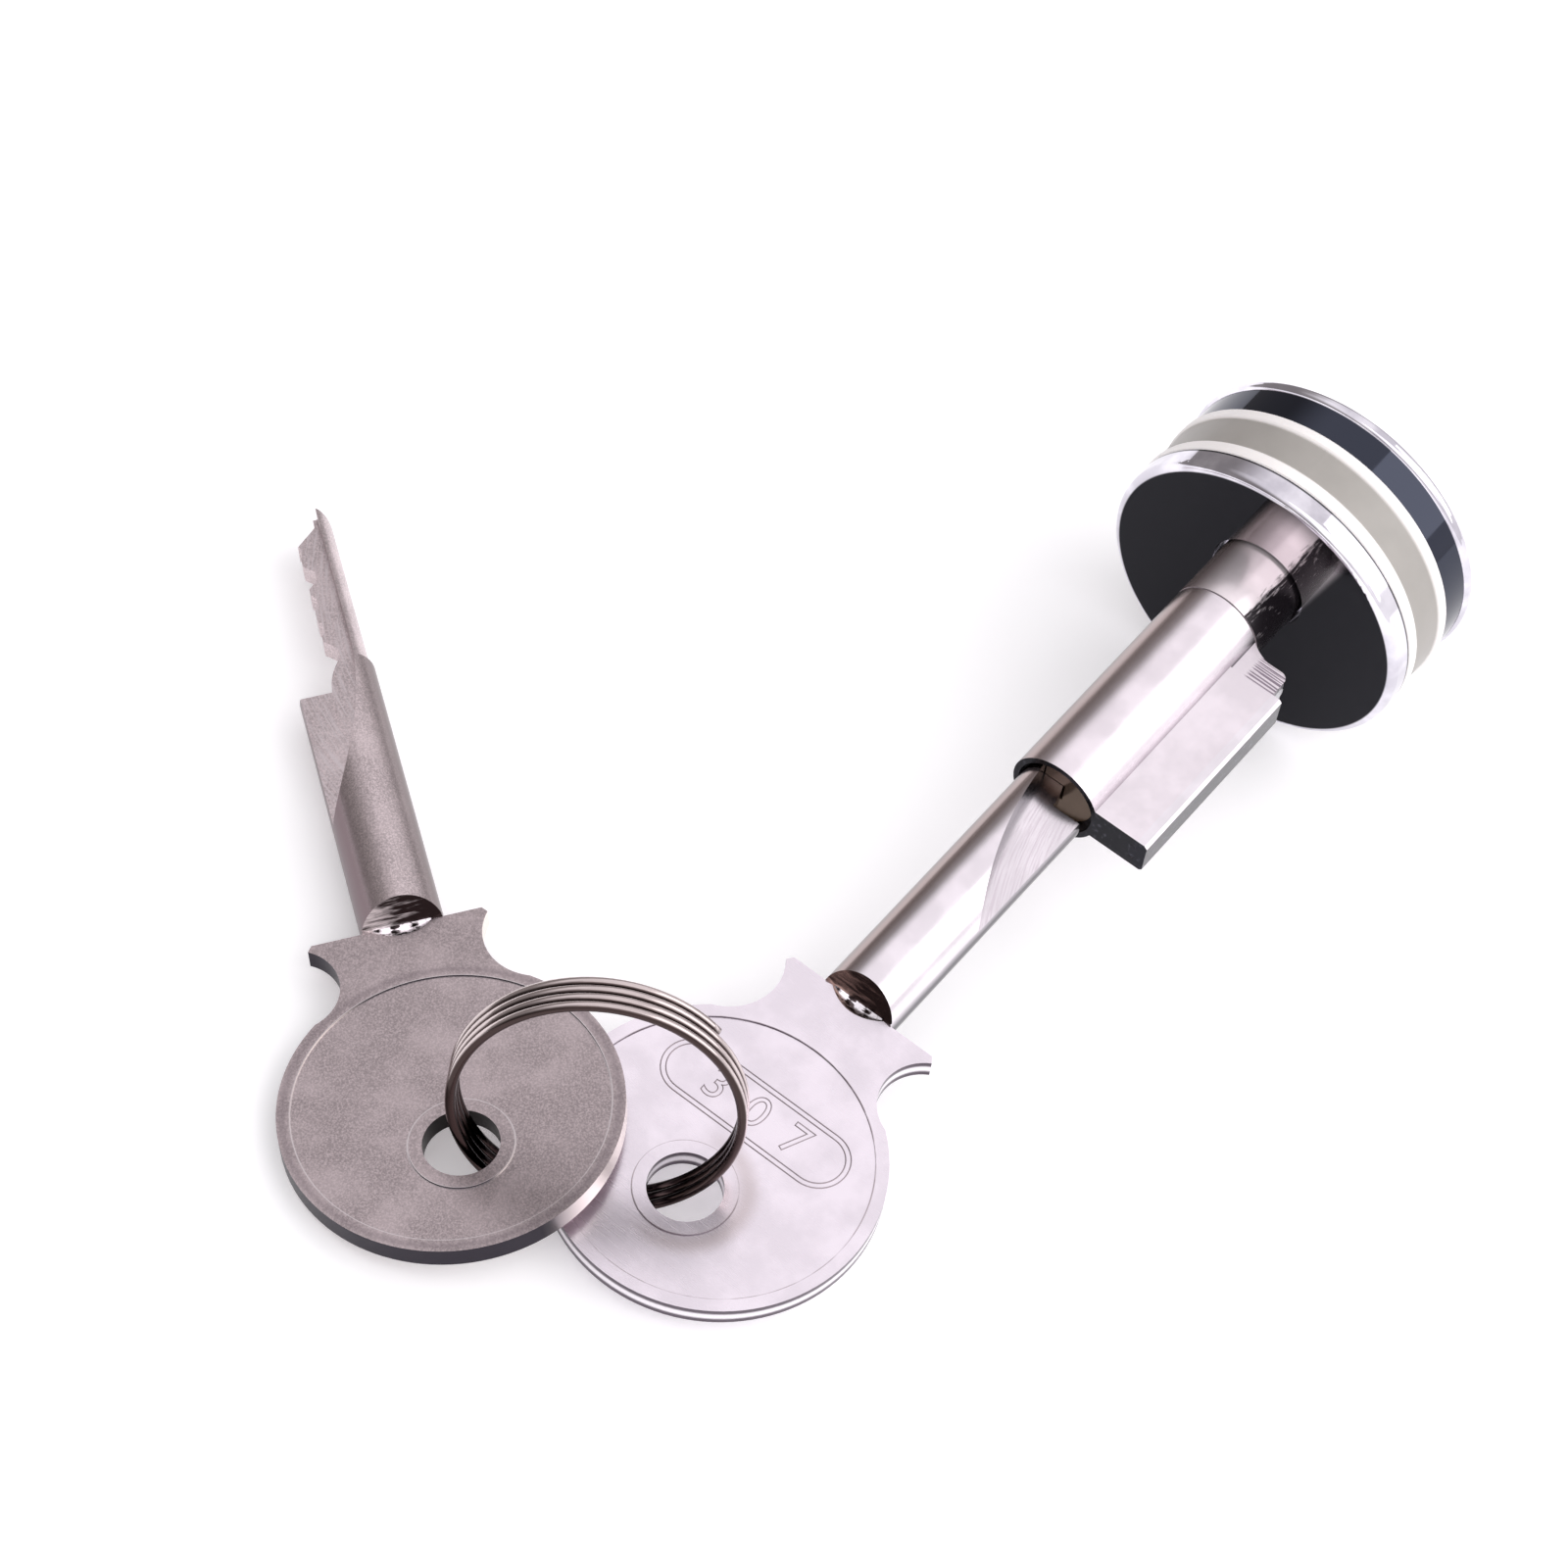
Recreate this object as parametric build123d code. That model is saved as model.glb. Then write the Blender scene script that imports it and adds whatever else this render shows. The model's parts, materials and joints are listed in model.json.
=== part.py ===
from build123d import *
import math
import os

# Display case lock: a small profile cylinder with a wing of pin tumblers, whose plug carries an
# off-centre drum with a soft bumper ring. One key is in the plug, and a split ring joins it to a
# spare key that leans on its bow. Millimetres, +Z up, lying on a table as it is shown.
#
# Each lock piece is first made in the lock's own frame: x along the plug's axis from the keys to
# the drum, 0 at the drum's front face, the wing towards -y. Each key piece is made in the key's
# own frame: x from the bow's centre to the tip, the cut edge of the blade towards -y.

# Cylinder housing
barrel_radius = 3.95
bore_radius = 3.05
barrel_length = 21.5
stand_off = 5.9            # bare length of nose between the housing and the drum
mouth_recess_depth = 0.8
mouth_rim = 0.5            # wall left around the recess
wing_thickness = 3.25
wing_reach = 7.6           # from the plug's axis to the wing's edge under the cover strip
strip_thickness = 0.95
strip_rib_width = 1.3
strip_rib_depth = 0.45
tab_length = 2.4           # bare end of the wing beside the drum
tab_setback = 0.95         # the tab stops this far short of the housing's end
tab_relief = 0.2           # each face of the tab lies this much lower than the wing's
tab_corner = 0.7
strip_chamfer = 0.25
curve_reach = 1.6          # from the barrel's side to where the wing's end turns straight
curve_hollow = 0.65        # how far out the middle of that curve lies

# Pin tumblers
pin_count = 5
pin_pitch = 2.8
first_pin = 1.85           # from the plug's face to the first pin
pin_radius = 0.8
pin_clearance = 0.05
driver_length = 2.1
spring_wall = 0.25
retainer_radius = 0.75
retainer_bite = 0.7        # depth of the plug's groove
turn_range = 180.0         # degrees that the key turns the plug

# Plug
plug_clearance = 0.05
fin_clearance = 0.06
spine_clearance = 0.2
head_gap = 0.15            # between the plug's head and the housing's end
tail_flat = 2.9            # from the axis to each flat of the tail
tail_length = 4.9
tail_start = 2.0           # the flats start this deep in the drum
screw_hole_depth = 5.0

# Drum
drum_radius = 13.6
drum_offset = 2.7          # the drum's centre lies this far below the plug's axis
flange_thickness = 2.1
flange_edge = 0.7
nose_gap = 0.35
sleeve_radius = 9.4
ring_width = 5.6
ring_groove_width = 3.1
ring_groove_depth = 0.2
ring_front_lip = 1.35
cup_thickness = 3.8
cup_wall_step = 0.25       # the cup's wall lies this much inside the soft ring
cup_rim_width = 1.0
cup_pocket_step = 3.55     # thickness of the wall around the pocket
cup_floor = 1.7
drum_fit = 0.04
dowel_radius = 0.8
dowel_spread = 7.2
dowel_reach = 1.4
screw_radius = 1.25
screw_head_radius = 2.6
screw_head_height = 1.6
screw_head_edge = 0.4
screw_clearance = 0.15
screw_tip_gap = 0.6        # left free at the bottom of the screw's hole
socket_radius = 1.15
socket_depth = 0.9
washer_radius = 3.6
washer_thickness = 0.5

# Keys
bow_radius = 12.7
bow_thickness = 1.7
bow_rim = 1.0
bow_dish = 0.12            # the disc inside the rim lies this much lower
hole_radius = 2.85
hole_setback = 3.5         # the hole's centre, from the bow's centre away from the tip
eyelet_width = 1.05
ear_reach = 17.0
ear_half_width = 6.4       # on the spine's side
ear_half_width_cut_side = 7.3
ear_edge = 0.5             # length of the blunt end of an ear
ear_slant = 0.35
neck_half_width = 5.6
neck_place = 0.42          # share of the way from the round bow to the ears
hollow_start = 0.77        # share of the bow's radius at which its side turns hollow
shaft_radius = 3.2
tang_half_width = 2.2      # the bow's tang sits in a slot in the shaft
tang_length = 5.0
tang_fit = 0.02
root_radius = 9.0          # cutter that faces off the shaft's root
root_depth = 0.35          # how far it bites into the bow
root_tilt = 20.0           # degrees
shoulder = 42.8            # from the bow's centre to where the shaft steps down to the blade
shoulder_gap = 0.05
blade_radius = 2.88
blade_past_pins = 3.15     # from the last pin to the blade's tip
fin_thickness = 1.7
spine_edge = 1.85          # the round spine of the blade starts this far from the axis
cutter_radius = 35.0
cutter_past_shoulder = 3.0  # the cutter's centre stops this far beyond the shoulder
cut_depths = [0.8, 0.1, 0.2, 0.6, -0.05]   # from the axis towards the spine, shoulder to tip
ridge_level = -0.2         # the ridges between the cuts
cut_flat = 0.9
fin_setback = 1.95         # the full width of the fin ends this far before the shoulder
fin_step = 0.55            # from the axis to where the hollow curve to the first cut starts
ridge_clearance = 0.05     # under the key pins
tip_run = 0.8
tip_slope_run = 1.7
tip_depth = 1.5
tip_round = 1.0

# Split ring
wire_diameter = 0.75
wire_gap = 0.41
ring_radius = 10.5         # middle of the wire
ring_turns = 3
ring_lean = 7.0            # degrees from upright
ring_ends = 240.0          # where the wire starts and ends, in degrees from the first hole
strands_in_key = (0.5, 0.25)        # where the wire crosses each hole, from the hole's centre
strands_in_spare = (0.1, 0.75)

# How the pieces lie on the table
bow_lift = 1.45            # the bow's far edge above the table
floor_gap = 0.05
spare_overlap = 6.0        # how far the spare bow lies over the other
spare_bearing = 121.1      # degrees, from the first bow's centre to the spare's
spare_heading = 51.9       # degrees, the way that the spare key points
spare_roll = 13.0          # degrees, its far side lower
spare_gap = 0.15

# Values worked out from those above
barrel_end = -stand_off
mouth = barrel_end - barrel_length
plug_face = mouth + mouth_recess_depth
plug_radius = bore_radius - plug_clearance
strip_end = barrel_end - tab_setback - tab_length
wing_edge = wing_reach + strip_thickness
drum_back = flange_thickness + ring_width + cup_thickness
bow_centre = plug_face - shoulder_gap - shoulder
bow_far = bow_centre - bow_radius
cup_wall_radius = drum_radius - cup_wall_step
cup_pocket_radius = cup_wall_radius - cup_pocket_step
shaft_end_on_table = shoulder + cutter_past_shoulder - math.sqrt(
    cutter_radius ** 2 - (cutter_radius - spine_edge) ** 2)
blade_length = first_pin + pin_pitch * (pin_count - 1) + blade_past_pins
pin_stations = [plug_face + first_pin + pin_pitch * i for i in range(pin_count)]
pin_foot = ridge_level - ridge_clearance
driver_foot = bore_radius + 0.03
driver_top = driver_foot + driver_length
rib_foot = wing_reach - strip_rib_depth
retainer_station = (strip_end + barrel_end - tab_setback) / 2


def along_x(radius, start, end, y=0, z=0):
    """Cylinder along x between two stations."""
    return Pos((start + end) / 2, y, z) * Rot(0, 90, 0) * Cylinder(radius, abs(end - start))


def along_y(radius, x, start, end):
    """Cylinder along y, on the wing's middle plane, between two distances from the axis."""
    return Pos(x, -(start + end) / 2, 0) * Rot(90, 0, 0) * Cylinder(radius, end - start)


def block(x0, x1, y0, y1, z0, z1):
    """Box between six planes."""
    return Pos((x0 + x1) / 2, (y0 + y1) / 2, (z0 + z1) / 2) * Box(x1 - x0, y1 - y0, z1 - z0)


def plate(outline, thickness):
    """Flat outline in the xy plane, given equal thickness above and below it."""
    return extrude(make_face(outline), amount=thickness / 2, both=True)


def spun(profile_edges, arc=360.0):
    """Outline in the xz plane, spun about the x axis."""
    return revolve(make_face(profile_edges), axis=Axis.X, revolution_arc=arc)


# Cylinder housing and what it holds


def wing():
    """Wing of the housing: its drum end runs in a hollow curve from the barrel to the tab."""
    tab_end = barrel_end - tab_setback
    curve_top = (tab_end, -(barrel_radius + curve_reach))
    curve_mid = (barrel_end - curve_hollow * tab_setback, -(barrel_radius + curve_hollow))
    edges = [
        Line((mouth, 0), (mouth, -wing_reach)),
        Line((mouth, -wing_reach), (tab_end - tab_corner, -wing_reach)),
        RadiusArc((tab_end - tab_corner, -wing_reach), (tab_end, -wing_reach + tab_corner), -tab_corner),
        Line((tab_end, -wing_reach + tab_corner), curve_top),
        ThreePointArc(curve_top, curve_mid, (barrel_end, -barrel_radius * 0.93)),
        Line((barrel_end, -barrel_radius * 0.93), (barrel_end, 0)),
        Line((barrel_end, 0), (mouth, 0)),
    ]
    body = plate(edges, wing_thickness)
    for side in (-1, 1):
        face = side * (wing_thickness / 2 - tab_relief)
        relief = block(strip_end, barrel_end + 1, -wing_edge, -barrel_radius * 0.9,
                       min(face, side * wing_thickness), max(face, side * wing_thickness))
        body -= relief
    return body


def barrel_housing():
    """Barrel and wing in one piece, bored for the plug, the pin stacks and the retainer."""
    body = along_x(barrel_radius, mouth, barrel_end) + wing()
    body -= along_x(bore_radius, mouth - 1, barrel_end + 1)
    body -= along_x(barrel_radius - mouth_rim, mouth - 1, plug_face)
    half_rib = strip_rib_width / 2 + pin_clearance
    body -= block(mouth - 1, strip_end, -wing_reach - 1, -rib_foot, -half_rib, half_rib)
    for x in pin_stations:
        body -= along_y(pin_radius + pin_clearance, x, 0, wing_reach + 1)
    body -= along_y(retainer_radius + 0.02, retainer_station, 0, wing_reach + 1)
    return body


def pin_cover_strip():
    """Strip that closes the pin holes along the wing's edge, with a rib that keys it in."""
    half = wing_thickness / 2
    strip = block(mouth, strip_end, -wing_edge, -wing_reach, -half, half)
    corners = strip.edges().filter_by(Axis.X).group_by(Axis.Y)[0]
    strip = chamfer(corners, strip_chamfer)
    half_rib = strip_rib_width / 2
    return strip + block(mouth, strip_end, -wing_reach, -rib_foot, -half_rib, half_rib)


def driver_pin(x):
    """Driver pin, flat where it meets the plug and domed under its spring."""
    pin = along_y(pin_radius, x, driver_foot, driver_top)
    return chamfer(pin.edges(), 0.12)


def driver_spring(x):
    """Spring of one pin stack, as a plain sleeve: it is sealed in the wing."""
    outer = along_y(pin_radius, x, driver_top, rib_foot)
    return outer - along_y(pin_radius - spring_wall, x, driver_top - 1, rib_foot + 1)


def retaining_pin():
    """Pin that holds the plug in the barrel: its foot runs in the plug's groove."""
    foot = plug_radius - retainer_bite + 0.06
    return along_y(retainer_radius, retainer_station, foot, wing_reach)


# Plug and what turns with it


def keyway(start, end):
    """Slot for the key's blade: open on the spine's side, narrow where the fin runs."""
    half_fin = fin_thickness / 2 + fin_clearance
    spine = block(start, end, spine_edge - spine_clearance, bore_radius + 1, -bore_radius, bore_radius)
    fin = block(start, end, ridge_level - fin_clearance, spine_edge, -half_fin, half_fin)
    return spine + fin


def stop_groove():
    """Groove around part of the plug: its ends stop the retainer after the key's range."""
    half_width = retainer_radius + 0.05
    inner = plug_radius - retainer_bite
    margin = math.degrees(math.asin((retainer_radius + 0.1) / inner))
    x0 = retainer_station - half_width
    x1 = retainer_station + half_width
    outline = Polyline((x0, 0, inner), (x1, 0, inner), (x1, 0, plug_radius + 1), (x0, 0, plug_radius + 1),
                       close=True)
    cut = revolve(make_face(outline), axis=Axis.X, revolution_arc=turn_range + 2 * margin)
    return Rot(90 + margin - turn_range - 2 * margin, 0, 0) * cut


def lock_plug():
    """Plug with its keyway and pin holes, a head as wide as the barrel, and a tail with two flats."""
    head_start = barrel_end + head_gap
    tail_end = tail_start + tail_length
    body = along_x(plug_radius, plug_face, head_start) + along_x(barrel_radius, head_start, tail_start)
    flats = block(tail_start, tail_end, -barrel_radius, barrel_radius, -tail_flat, tail_flat)
    body += along_x(barrel_radius, tail_start, tail_end) & flats
    blade_room = plug_face + blade_length + 0.5
    body -= keyway(plug_face - 1, blade_room)
    for x in pin_stations:
        body -= along_y(pin_radius + pin_clearance, x, 0, bore_radius)
    body -= stop_groove()
    body -= along_x(screw_radius, tail_end - screw_hole_depth, tail_end + 1)
    return body


def key_pin(x):
    """Key pin: a cone at the key's end, and a flat top just below the plug's surface."""
    top = math.sqrt(plug_radius ** 2 - pin_radius ** 2) - 0.02
    pin = along_y(pin_radius, x, -pin_foot, top)
    foot = pin.edges().filter_by(GeomType.CIRCLE).sort_by(Axis.Y)[-1]
    return chamfer(foot, 0.35)


def drum_front_flange():
    """Polished front of the drum, with the sleeve that the soft ring and the rear cup sit on."""
    r = drum_radius
    centre_z = -drum_offset
    disc = along_x(r, 0, flange_thickness, z=centre_z)
    front = disc.edges().filter_by(GeomType.CIRCLE).sort_by(Axis.X)[0]
    disc = fillet(front, flange_edge)
    body = disc + along_x(sleeve_radius, flange_thickness, flange_thickness + ring_width, z=centre_z)
    body -= along_x(barrel_radius + nose_gap, -1, tail_start)
    tail = along_x(barrel_radius + drum_fit, tail_start, drum_back)
    half = tail_flat + drum_fit
    body -= tail & block(tail_start, drum_back, -drum_radius, drum_radius, -half, half)
    for y in (-dowel_spread, dowel_spread):
        start = flange_thickness + ring_width - dowel_reach
        body -= along_x(dowel_radius, start, drum_back, y=y, z=centre_z)
    return body


def drum_bumper_ring():
    """Soft ring on the sleeve: two lips with a shallow groove between them."""
    x0 = flange_thickness
    x1 = x0 + ring_width
    g0 = x0 + ring_front_lip
    g1 = g0 + ring_groove_width
    r = drum_radius
    low = r - ring_groove_depth
    slope = ring_groove_depth
    outline = Polyline(
        (x0, 0, sleeve_radius + drum_fit), (x0, 0, r - slope), (x0 + slope, 0, r), (g0 - slope, 0, r),
        (g0, 0, low), (g1, 0, low), (g1 + slope, 0, r), (x1 - slope, 0, r), (x1, 0, r - slope),
        (x1, 0, sleeve_radius + drum_fit), close=True)
    return Pos(0, 0, -drum_offset) * spun(outline)


def drum_rear_cup():
    """Rear of the drum: a plain wall, a raised rim, and a pocket for the screw."""
    x0 = flange_thickness + ring_width
    centre_z = -drum_offset
    wall = along_x(cup_wall_radius, x0, drum_back, z=centre_z)
    rim = along_x(drum_radius, drum_back - cup_rim_width, drum_back, z=centre_z)
    rim_edges = rim.edges().filter_by(GeomType.CIRCLE)
    body = wall + fillet(rim_edges, cup_rim_width * 0.4)
    body -= along_x(cup_pocket_radius, x0 + cup_floor, drum_back + 1, z=centre_z)
    body -= along_x(screw_radius + screw_clearance, x0 - 1, drum_back)
    for y in (-dowel_spread, dowel_spread):
        body -= along_x(dowel_radius, x0 - 1, x0 + dowel_reach, y=y, z=centre_z)
    return body


def drum_dowels():
    """Two pins that keep the cup from turning on the sleeve."""
    x0 = flange_thickness + ring_width
    pins = []
    for y in (-dowel_spread, dowel_spread):
        pins.append(along_x(dowel_radius, x0 - dowel_reach, x0 + dowel_reach, y=y, z=-drum_offset))
    return Compound(pins)


def drum_washer():
    """Washer under the screw's head, on the floor of the cup's pocket."""
    x0 = flange_thickness + ring_width + cup_floor
    ring = along_x(washer_radius, x0, x0 + washer_thickness)
    return ring - along_x(screw_radius + screw_clearance, x0 - 1, x0 + 1)


def drum_screw():
    """Screw that clamps the drum to the plug's tail, with a six-sided socket in its head."""
    seat = flange_thickness + ring_width + cup_floor + washer_thickness
    end = tail_start + tail_length - screw_hole_depth + screw_tip_gap
    head = along_x(screw_head_radius, seat, seat + screw_head_height)
    top = head.edges().filter_by(GeomType.CIRCLE).sort_by(Axis.X)[-1]
    body = fillet(top, screw_head_edge) + along_x(screw_radius - 0.02, end, seat)
    socket_plane = Plane(origin=(seat + screw_head_height - socket_depth, 0, 0), x_dir=(0, 1, 0),
                         z_dir=(1, 0, 0))
    socket = extrude(socket_plane * RegularPolygon(socket_radius, 6), amount=socket_depth + 1)
    return body - socket


# Key pieces, in the key's own frame


def bow_outline():
    """Round bow, narrowed by a hollow on each side to a neck that flares into two ears."""
    start_x = bow_radius * hollow_start
    start_y = math.sqrt(bow_radius ** 2 - start_x ** 2)
    neck_x = start_x + (ear_reach - start_x) * neck_place
    edges = [ThreePointArc((start_x, start_y), (-bow_radius, 0), (start_x, -start_y))]
    for s, half_width in ((1, ear_half_width), (-1, ear_half_width_cut_side)):
        ear_base = (ear_reach - ear_edge, s * half_width)
        ear_tip = (ear_reach, s * (half_width - ear_slant))
        edges.append(ThreePointArc((start_x, s * start_y), (neck_x, s * neck_half_width), ear_base))
        edges.append(Line(ear_base, ear_tip))
        edges.append(Line(ear_tip, (ear_reach, 0)))
    return edges


def root_cutter(side):
    """Leaning cutter that faces off the shaft's root and bites a shallow crescent in the bow."""
    reach = shaft_radius * 3
    edge = Pos(ear_reach, 0, side * (bow_thickness / 2 - root_depth)) * Rot(0, 90 + side * root_tilt, 0)
    return edge * Pos(-side * root_radius, 0, -reach / 2) * Cylinder(root_radius, reach)


def key_bow():
    """Stamped bow: a raised rim, a disc that lies slightly lower, an eyelet, and a tang."""
    body = plate(bow_outline(), bow_thickness)
    tang_end = ear_reach + tang_length
    half = bow_thickness / 2
    body += block(ear_reach - 1, tang_end, -tang_half_width, tang_half_width, -half, half)
    dish = Cylinder(bow_radius - bow_rim, bow_dish * 2)
    eyelet = Pos(-hole_setback, 0, 0) * Cylinder(hole_radius + eyelet_width, bow_dish * 4)
    for side in (-1, 1):
        body -= Pos(0, 0, side * half) * (dish - eyelet)
        body -= root_cutter(side)
    return body - Pos(-hole_setback, 0, 0) * Cylinder(hole_radius, bow_thickness * 2)


def runout(side):
    """What the round cutter takes off one face of the shaft, from its run-out to the tip."""
    end = shoulder + blade_length + 1
    half_fin = fin_thickness / 2
    reach = shaft_radius + 1
    z0 = half_fin if side > 0 else -reach
    z1 = reach if side > 0 else -half_fin
    stop = shoulder + cutter_past_shoulder
    disc = Pos(stop, spine_edge - cutter_radius, (z0 + z1) / 2) * Cylinder(cutter_radius, z1 - z0)
    return disc + block(stop, end, -reach, spine_edge, z0, z1)


def cut_profile():
    """What the bitting takes off the fin's edge: a flat at each pin, ridges between them."""
    end = shoulder + blade_length
    below = -shaft_radius - 1
    fin_end = shoulder - fin_setback
    first_flat = pin_stations[0] - bow_centre - cut_flat / 2
    curve_end = (first_flat, cut_depths[0])
    hollow = (fin_end + (first_flat - fin_end) * 0.6, -fin_step * 0.1)
    points = [curve_end]
    for x, depth in zip(pin_stations, cut_depths):
        station = x - bow_centre
        rise = depth - ridge_level
        if len(points) > 1:
            points.append((station - cut_flat / 2 - rise, ridge_level))
            points.append((station - cut_flat / 2, depth))
        points.append((station + cut_flat / 2, depth))
        # No ridge after the last pin: the tip's slope starts there
        if len(points) < 4 * pin_count - 2:
            points.append((station + cut_flat / 2 + rise, ridge_level))
    points.append((end - tip_run - tip_slope_run, ridge_level))
    points.append((end - tip_run, tip_depth))
    points.append((end + 1, tip_depth))
    points.append((end + 1, below))
    points.append((fin_end, below))
    points.append((fin_end, -fin_step))
    outline = [ThreePointArc((fin_end, -fin_step), hollow, curve_end)]
    outline += [Line(a, b) for a, b in zip(points, points[1:])]
    return extrude(make_face(outline), amount=shaft_radius * 2, both=True)


def key_shaft():
    """Round shaft, slotted for the bow, milled from both faces to a fin, stepped down at the tip."""
    end = shoulder + blade_length
    body = along_x(shaft_radius, ear_reach, shoulder) + along_x(blade_radius, shoulder, end)
    half_slot = tang_half_width + tang_fit
    half = bow_thickness / 2
    body -= block(ear_reach - 1, ear_reach + tang_length + tang_fit, -half_slot, half_slot, -half, half)
    for side in (-1, 1):
        body -= runout(side)
        body -= root_cutter(side)
    body -= cut_profile()
    corner = block(end - tip_round, end + 1, blade_radius - tip_round, blade_radius + 1,
                   -shaft_radius, shaft_radius)
    rounding = Pos(end - tip_round, blade_radius - tip_round, 0) * Cylinder(tip_round, shaft_radius * 3)
    return body - (corner - rounding)


# Split ring


def biarc(p0, t0, p1, t1):
    """Two arcs that leave p0 along t0 and reach p1 along t1."""
    v = p1 - p0
    t = t0 + t1
    k = 2 * (1 - t0.dot(t1))
    d = (-v.dot(t) + math.sqrt(v.dot(t) ** 2 + k * v.dot(v))) / k
    middle = (p0 + p1 + (t0 - t1) * d) * 0.5
    first = TangentArc(p0, middle, tangent=t0)
    second = TangentArc(middle, p1, tangent=first % 1)
    return [first, second]


def coil_point(angle):
    """Point and direction on the middle line of the ring's wire, in the ring's own frame."""
    pitch = wire_diameter + wire_gap
    climb = pitch / (2 * math.pi)
    z = climb * (angle - math.pi * ring_turns)
    phase = angle + math.radians(ring_ends)
    point = Vector(ring_radius * math.cos(phase), ring_radius * math.sin(phase), z)
    direction = Vector(-ring_radius * math.sin(phase), ring_radius * math.cos(phase), climb)
    return point, direction.normalized()


def split_ring():
    """One wire wound in turns that lie side by side, on arcs of a quarter turn each."""
    edges = []
    for i in range(4 * ring_turns):
        p0, t0 = coil_point(math.pi / 2 * i)
        p1, t1 = coil_point(math.pi / 2 * (i + 1))
        edges += biarc(p0, t0, p1, t1)
    path = Wire(edges)
    section = Plane(origin=path @ 0, z_dir=path % 0) * Circle(wire_diameter / 2)
    return sweep(section, path=path)


def least_coil_gap():
    """Least space between the wire and itself, on points half a turn or more apart."""
    steps = 36
    points = [coil_point(2 * math.pi * i / steps)[0] for i in range(steps * ring_turns + 1)]
    gaps = []
    for i, point in enumerate(points):
        for other in points[i + steps // 2:]:
            gaps.append((point - other).length - wire_diameter)
    return min(gaps)


# Places on the table


def lock_place():
    """The lock lies on the drum's edge and on the bow's far edge, so its axis slopes."""
    run = flange_edge - bow_far
    rise = drum_offset + drum_radius - bow_thickness / 2
    tilt = math.atan2(rise, run) - math.asin(bow_lift / math.hypot(run, rise))
    height = (drum_offset + drum_radius) * math.cos(tilt) - flange_edge * math.sin(tilt)
    return tilt, Pos(0, 0, height + floor_gap) * Rot(0, -math.degrees(tilt), 0)


def face_height(place, side, x, y):
    """Height, above the point (x, y), of the plane of one face of a placed bow."""
    point = (place * Pos(0, 0, side * bow_thickness / 2)).position
    normal = (place * Pos(0, 0, 1)).position - place.position
    return point.Z - ((x - point.X) * normal.X + (y - point.Y) * normal.Y) / normal.Z


def least_height(upper, lower):
    """Least height of the upper bow's turned-down face above the lower bow, where they overlap."""
    heights = []
    for place, other in ((upper, lower), (lower, upper)):
        for angle in range(0, 360, 3):
            turn = math.radians(angle)
            rim = (place * Pos(bow_radius * math.cos(turn), bow_radius * math.sin(turn), 0)).position
            apart = math.hypot(rim.X - other.position.X, rim.Y - other.position.Y)
            if apart < bow_radius:
                heights.append(face_height(upper, 1, rim.X, rim.Y) - face_height(lower, 1, rim.X, rim.Y))
    return min(heights)


def spare_place(key):
    """The spare key lies on its shaft and on the first bow's edge, rolled away from that bow."""
    bearing = math.radians(spare_bearing)
    distance = 2 * bow_radius - spare_overlap
    centre_x = key.position.X + distance * math.cos(bearing)
    centre_y = key.position.Y + distance * math.sin(bearing)
    height = shaft_radius + floor_gap
    for _ in range(4):
        slope = math.degrees(math.asin((height - shaft_radius - floor_gap) / shaft_end_on_table))
        turn = Rot(0, 0, spare_heading) * Rot(0, slope, 0) * Rot(180 - spare_roll, 0, 0)
        spare = Pos(centre_x, centre_y, height) * turn
        height += spare_gap - least_height(spare, key)
    return Pos(centre_x, centre_y, height) * turn


def crossing(place, strands):
    """Where the split ring crosses the hole of a placed key."""
    return (place * Pos(strands[0] - hole_setback, strands[1], 0)).position


def ring_place(first, second):
    """The ring stands on edge through both holes, leaning a little."""
    chord = second - first
    along = chord.normalized()
    upright = (Vector(0, 0, 1) - along * along.Z).normalized()
    side = along.cross(upright)
    lean = math.radians(ring_lean)
    rise = upright * math.cos(lean) + side * math.sin(lean)
    centre = (first + second) * 0.5 + rise * math.sqrt(ring_radius ** 2 - chord.length ** 2 / 4)
    return Plane(origin=centre, x_dir=along * -1, z_dir=along.cross(rise)).location


def lock_pieces():
    """Every piece of the lock, in the lock's own frame."""
    pieces = {
        "barrel_housing": barrel_housing(),
        "pin_cover_strip": pin_cover_strip(),
        "retaining_pin": retaining_pin(),
        "lock_plug": lock_plug(),
        "drum_front_flange": drum_front_flange(),
        "drum_bumper_ring": drum_bumper_ring(),
        "drum_rear_cup": drum_rear_cup(),
        "drum_dowels": drum_dowels(),
        "drum_washer": drum_washer(),
        "drum_screw": drum_screw(),
    }
    for number, x in enumerate(pin_stations, start=1):
        pieces[f"key_pin_{number}"] = key_pin(x)
        pieces[f"driver_pin_{number}"] = driver_pin(x)
        pieces[f"driver_spring_{number}"] = driver_spring(x)
    return pieces


def layout():
    """Places of the lock, both keys and the ring, and the two points where the ring crosses."""
    tilt, lock = lock_place()
    key = lock * Pos(bow_centre, 0, 0)
    spare = spare_place(key)
    first = crossing(key, strands_in_key)
    second = crossing(spare, strands_in_spare)
    return {"tilt": tilt, "lock": lock, "key": key, "spare": spare, "first": first, "second": second,
            "ring": ring_place(first, second)}


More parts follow.
